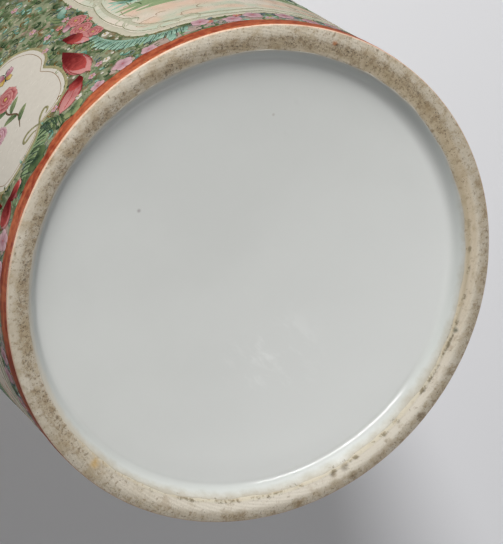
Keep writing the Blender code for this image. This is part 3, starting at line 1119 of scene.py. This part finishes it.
BRANCHES = (
    ((3, -9), (-4, -11), (-11, -9), (-15, -4)), ((2, -2), (9, 2), (13, 8), (14, 15)),
    ((-8, 13), (-1, 17), (5, 23), (8, 31)), ((-5, 7), (-12, 8), (-16, 12), (-17, 18)))
PANEL_PEONIES = (    # place, radius, and whether it is pale
    ((-15, -3), 5, True), ((14, 15), 5.6, False), ((8, 31), 4.6, True), ((-17, 19), 4.6, False),
    ((-11, 30), 5.4, False), ((3, -9), 5.8, False), ((0, 8), 4.4, True))
PANEL_BLOSSOMS = ((-19, -8), (-2, -17), (18, 4), (18, 26), (-1, 21), (-3, 37), (15, 37), (-19, 8), (17, -9),
                  (-18, 36))


def add_panel_flowers(pen, turn):
    """Peonies, leaves, birds and butterflies on a branch that climbs the panel from a garden rock."""
    trunk = ((13, -29), (12.5, -22), (8, -14), (3, -9), (2, -2), (-4, 5), (-8, 13), (-7, 21), (-11, 29))
    pen.line("bark", smooth(trunk), 1.5, rise=0.1, shade=0.3)
    for branch in BRANCHES:
        path = smooth(branch, 7)
        pen.line("bark", path, 0.85, rise=0.08, shade=0.3)
        for k in range(4, len(path) - 2, 5):
            for side in (1, -1):
                step = path[k + 1] - path[k]
                heading = degrees(atan2(step[1], step[0])) + side * 58
                pen.leaf(path[k], turn_to(heading, 4.6, path[k]), 2.1, 0.12 * side, LEAVES[k % 2])
    for centre, size, pale in PANEL_PEONIES:
        for k in range(5):
            root = turn_to(72 * k + turn, size * 0.8, centre)
            pen.leaf(root, turn_to(72 * k + turn + 10, 3.6, root), 2, 0.1, "leaf" if k % 2 else "dark")
        add_peony(pen, centre, size, turn=turn + 7 * centre[0], pale=pale)
    for x, z in PANEL_BLOSSOMS:
        pen.blossom("mauve", (x, z), 2, 9 * x, 1.9, full=0.75, shades=(0.2, 1.1))
        pen.dot("yellow", (x, z), 0.4, rise=0.1)
        for side in (1, -1):
            pen.leaf((x, z - 1.6), (x + 3.2 * side, z - 3.6), 1.4, 0.12 * side, "turquoise")
    add_bird(pen, (-5, -19), 5.2, 160 - turn / 2)
    add_bird(pen, (-5, 41), 5, 190)
    add_butterfly(pen, (18, -16), 4, 60 + turn, ("yellow", "mauve"))
    add_butterfly(pen, (13, -4), 4.2, 120 - turn, ("turquoise", "crimson"))
    add_butterfly(pen, (-2, 38), 4.4, 80)


def add_reserve_sprig(pen):
    """A butterfly over a small flowering sprig, inside a white reserve."""
    stem = smooth(((-1, 20), (0.6, 24), (-0.6, 28.5), (1.2, 32)), 7)
    pen.line("bark", stem, 0.5, rise=0.05)
    for k, side in zip(range(3, 22, 4), (1, -1, 1, -1, 1)):
        pen.leaf(stem[k], turn_to(90 - side * 55, 4.4, stem[k]), 1.8, 0.12 * side)
    add_peony(pen, (1.4, 32.6), 3.4)
    add_peony(pen, (-5, 25.6), 2.4, pale=True)
    add_butterfly(pen, (4.6, 39), 3.2, 70)


COMBED_LEAF = smooth(((-8.8, 7.4), (-5, 7.8), (-1.4, 8.4), (1.6, 9.8), (4.4, 8.6)), 6)
CORNER_LEAF = smooth(((21.9, 26.5), (21.8, 21.5), (23.2, 16), (26.8, 11.6), (32, 9.2), (35.5, 8.7)), 6)
BLOSSOMS = np.array((
    (-3.6, 5.6), (8, 5.8), (-9.6, 6), (-11, 9), (-14, 9.4), (-17.4, 9), (15.7, 14.8), (15.6, 18),
    (15.6, 21.5), (15.5, 25), (19.8, 26.6), (18.6, 29.6), (7.2, 10.4), (10.4, 12), (-16.8, 20), (-16, 15)))
CLEARANCES = ((COMBED_LEAF, 2.3), (CORNER_LEAF, 1.9), (BLOSSOMS, 2.1))


def free_ground(points):
    """Whether each point lies on the ground, clear of panels, reserves and the larger leaves and petals."""
    clear = np.ones(points.shape[:-1], bool)
    upside_down = RESERVE * (1, -1) + (0, 2 * MIDDLE)
    grown = (PANEL - PANEL_CENTRE) * (1.03, 1.015) + PANEL_CENTRE
    for shift in (0, UNIT_WIDTH):
        for outline in (RESERVE, upside_down):
            clear &= ~inside(points, outline + (shift, 0))
        for shapes, room in CLEARANCES:
            for shape in (shapes, shapes * (1, -1) + (0, 2 * MIDDLE)):
                gap = np.linalg.norm(points[:, None] - (shape + (shift, 0))[None], axis=2).min(axis=1)
                clear &= gap > room
    return clear & ~inside(points, grown)


def add_scroll_ground(pen, seed):
    """Close scrolling foliage, gilt tendrils and tiny blossoms over all the open ground."""
    chance = random.Random(seed)
    spacing, grid, taken = 1.5, {}, []
    tries = np.array([(chance.uniform(-2, UNIT_WIDTH - 2), chance.uniform(FIELD_LOW + 0.5, FIELD_HIGH - 0.4))
                      for _ in range(16000)])
    for point in tries[free_ground(tries)]:
        cell = (int(point[0] // spacing), int(point[1] // spacing))
        near = [other for dx in (-1, 0, 1) for dy in (-1, 0, 1)
                for other in grid.get((cell[0] + dx, cell[1] + dy), ())]
        if all((point[0] - x) ** 2 + (point[1] - z) ** 2 > spacing ** 2 for x, z in near):
            grid.setdefault(cell, []).append(point)
            taken.append(point)
    tones = ("dark", "leaf", "mint", "turquoise", "leaf")
    for k, point in enumerate(taken):
        heading = 90 * sin(point[0] * 0.45 + 1.3 * sin(point[1] * 0.31)) + chance.uniform(-35, 35) + 60
        kind = chance.random()
        if kind < 0.36:
            for side in (1, -1):
                tip = turn_to(heading + side * 32, chance.uniform(1.2, 1.9), point)
                pen.petal(tones[k % 5], point, tip, chance.uniform(0.6, 0.95), bend=0.22 * side,
                          shades=(0.05, chance.uniform(0.5, 1)))
        elif kind < 0.7:
            path = spiral(point, heading, chance.uniform(2.6, 4.2), chance.choice((5.4, -5.4)), 14)
            tone = chance.choice(("dark", "leaf", "blue"))
            pen.line(tone, path, 0.26, rise=0.05, shade=chance.uniform(0, 0.7))
        elif kind < 0.82:
            path = spiral(point, heading, chance.uniform(2, 3.2), chance.choice((4.2, -4.2)), 12)
            pen.line("gilt", path, 0.26, rise=0.05)
        elif kind < 0.9:
            tone = chance.choice(("mauve", "rose", "mauve", "white"))
            pen.blossom(tone, point, 0.95, heading, 0.8, full=0.8, shades=(0.3, 1))
            pen.dot("yellow", point, 0.2, rise=0.12)
        elif kind < 0.95:
            pen.dot("white", point, 0.36, rise=0.07)
        else:
            pen.petal("turquoise", point, turn_to(heading, 1.6, point), 0.8)


def add_foot_sprigs(pen):
    """Soft mauve flowers and grey-green sprigs in a row under the panel, over a pale wash that is partly
    painted sheen.
    """
    flowers = ((14.2, 5.6, 1.7), (20.6, 6.6, 2.3), (26.2, 6, 1.8), (38.4, 9.4, 2), (44.2, 7.4, 2),
               (49, 9, 2.1))
    # A pale pinkish wash: partly the soft streaks painted there, partly painted sheen where the ground looks
    # lighter in grazing light.
    wash = smooth(((27, 6.2), (33, 7), (39, 7.4), (45, 6.8), (54, 7.2)), 6)
    pen.line("blush", wash, 3, rise=0.02, taper=False)
    pen.line("blush", smooth(((17.4, 6.2), (20, 6.8), (23.4, 6.2))), 3, rise=0.02)
    for k, (x, z, size) in enumerate(flowers):
        if k == 0 and pen.flip_side:
            continue
        pen.blossom("mauve", (x, z), size, 20 * k, 0.9 * size, full=0.75, shades=(0.3, 1.15), lift=0.03,
                    edge=0.35)
        pen.dot("rose", (x, z), 0.28, rise=0.14)
        if k > 2:
            pen.leaf((x + 1.7, z), (x + 3.4, z + 1.8), 1, 0.1, "blue")
            pen.leaf((x + 1.7, z - 0.6), (x + 3.2, z - 1.4), 0.9, -0.1, "turquoise")
        if k > 1:
            for side in (1, -1):
                pen.line("blue", spiral((x - 2.4, z - 1.6), 90 - side * 50, 3, side * 4, 10), 0.26, rise=0.05)


# Key, name, colour where deep, colour where light, level above the ground in mm, and mottling
COATS = (
    ("white", "white_enamel", (206, 200, 188), (228, 221, 208), 0.03, 0.3),
    ("cream", "cream_cord", (196, 198, 172), (224, 214, 194), 0.05, 0.4),
    ("olive", "olive_line", (132, 130, 92), (192, 182, 138), 0.06, 0.5),
    ("sepia", "sepia_line", (104, 82, 58), (168, 140, 110), 0.06, 0.5),
    ("outline", "green_outline", (44, 66, 54), (78, 98, 78), 0.1, 0.4),
    ("dark", "dark_green", (36, 60, 38), (96, 116, 76), 0.055, 0.5),
    ("leaf", "leaf_green", (72, 100, 62), (156, 166, 120), 0.05, 0.5),
    ("mint", "mint_green", (96, 128, 88), (164, 184, 138), 0.045, 0.4),
    ("turquoise", "turquoise_green", (76, 128, 112), (184, 216, 194), 0.06, 0.5),
    ("blue", "blue_green", (76, 94, 98), (148, 162, 156), 0.06, 0.5),
    ("rose", "rose_enamel", (148, 30, 40), (216, 150, 146), 0.08, 0.3),
    # blush: a pale pinkish wash under the panel, partly painted sheen
    ("blush", "pale_wash_and_sheen", (164, 146, 132), (208, 184, 174), 0.03, 0.6),
    ("mauve", "mauve_enamel", (158, 92, 108), (216, 178, 184), 0.08, 0.35),
    ("crimson", "crimson_enamel", (104, 14, 16), (190, 80, 74), 0.13, 0.4),
    ("yellow", "yellow_enamel", (180, 140, 62), (216, 190, 120), 0.15, 0.4),
    ("bark", "bark_enamel", (84, 64, 48), (136, 110, 84), 0.05, 0.5),
)


def make_coats():
    """The enamels, each with its colours and its level above the ground."""
    coats = {key: Enamel(name, enamel_finish(name, deep, light, mottle), level)
            for key, name, deep, light, level, mottle in COATS}
    coats["panel"] = Enamel("celadon_wash", panel_wash_finish(), 0.02)
    coats["gilt"] = Enamel("gilt_scroll", gilt_finish(), 0.07)
    return coats


def add_decoration():
    coats = make_coats()
    for unit in range(UNITS):
        plain = Pen(coats, unit)
        garden = Pen(coats, unit, flip_side=unit == 1, origin=PANEL_CENTRE)
        add_panel(plain)
        add_bank(garden)
        add_panel_flowers(garden, 15 * unit)
        add_rosette(plain)
        for flip_up in (False, True):
            pen = Pen(coats, unit, flip_up=flip_up)
            add_reserve(pen)
            add_reserve_petals(pen)
            add_reserve_sprig(pen)
            for flip_side in (False, True):
                corner = Pen(coats, unit, flip_side, flip_up)
                add_panel_corner(Pen(coats, unit, flip_side, flip_up, PANEL_LOW_LEFT))
                add_corner_spray(corner)
                add_foot_sprigs(corner)
        add_scroll_ground(plain, 11 + unit)
    return [coat.build() for coat in coats.values()]


def main():
    add_camera()
    add_world()
    lamps = {lamp[0]: add_lamp(*lamp) for lamp in LAMPS}
    lamps["glint"].data.shape = "RECTANGLE"
    lamps["glint"].data.size_y = GLINT_WIDTH
    lamps["glint"].visible_diffuse = False
    for name in ("window", "side_window"):
        lamps[name].data.color = WINDOW_LIGHT
    for name in ("window", "side_window", "side_fill", "over_top"):
        lamps[name].visible_glossy = False

    floor, backdrop = add_floor(), add_backdrop()
    lining = add_inner_glaze(glaze_finish("lining_glaze", (216, 217, 212), (206, 210, 206)))
    ring = add_foot_ring(bare_foot_finish())
    recess = add_base_glaze(recess_glaze_finish())
    others = [lining, add_rim(iron_red_finish("rim_red", HEIGHT - 1.1 * MM)),
            add_foot_band(iron_red_finish("foot_red")), add_ground(painted_ground_finish())]
    others += add_decoration()
    for node in ("wall", "base_slab"):
        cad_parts[node].data.materials[0] = porcelain_finish(node + "_porcelain")
        others.append(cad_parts[node])
    for name, pieces in (("window", (ring, recess)), ("glint", (recess,)), ("side_fill", (recess,)),
            ("over_top", (lining,)), ("over_floor", (floor,)),
            ("back_window", (floor, backdrop)), ("side_window", others)):
        keep_to(lamps[name], pieces)


main()
bpy.context.scene.view_settings.view_transform = "Standard"
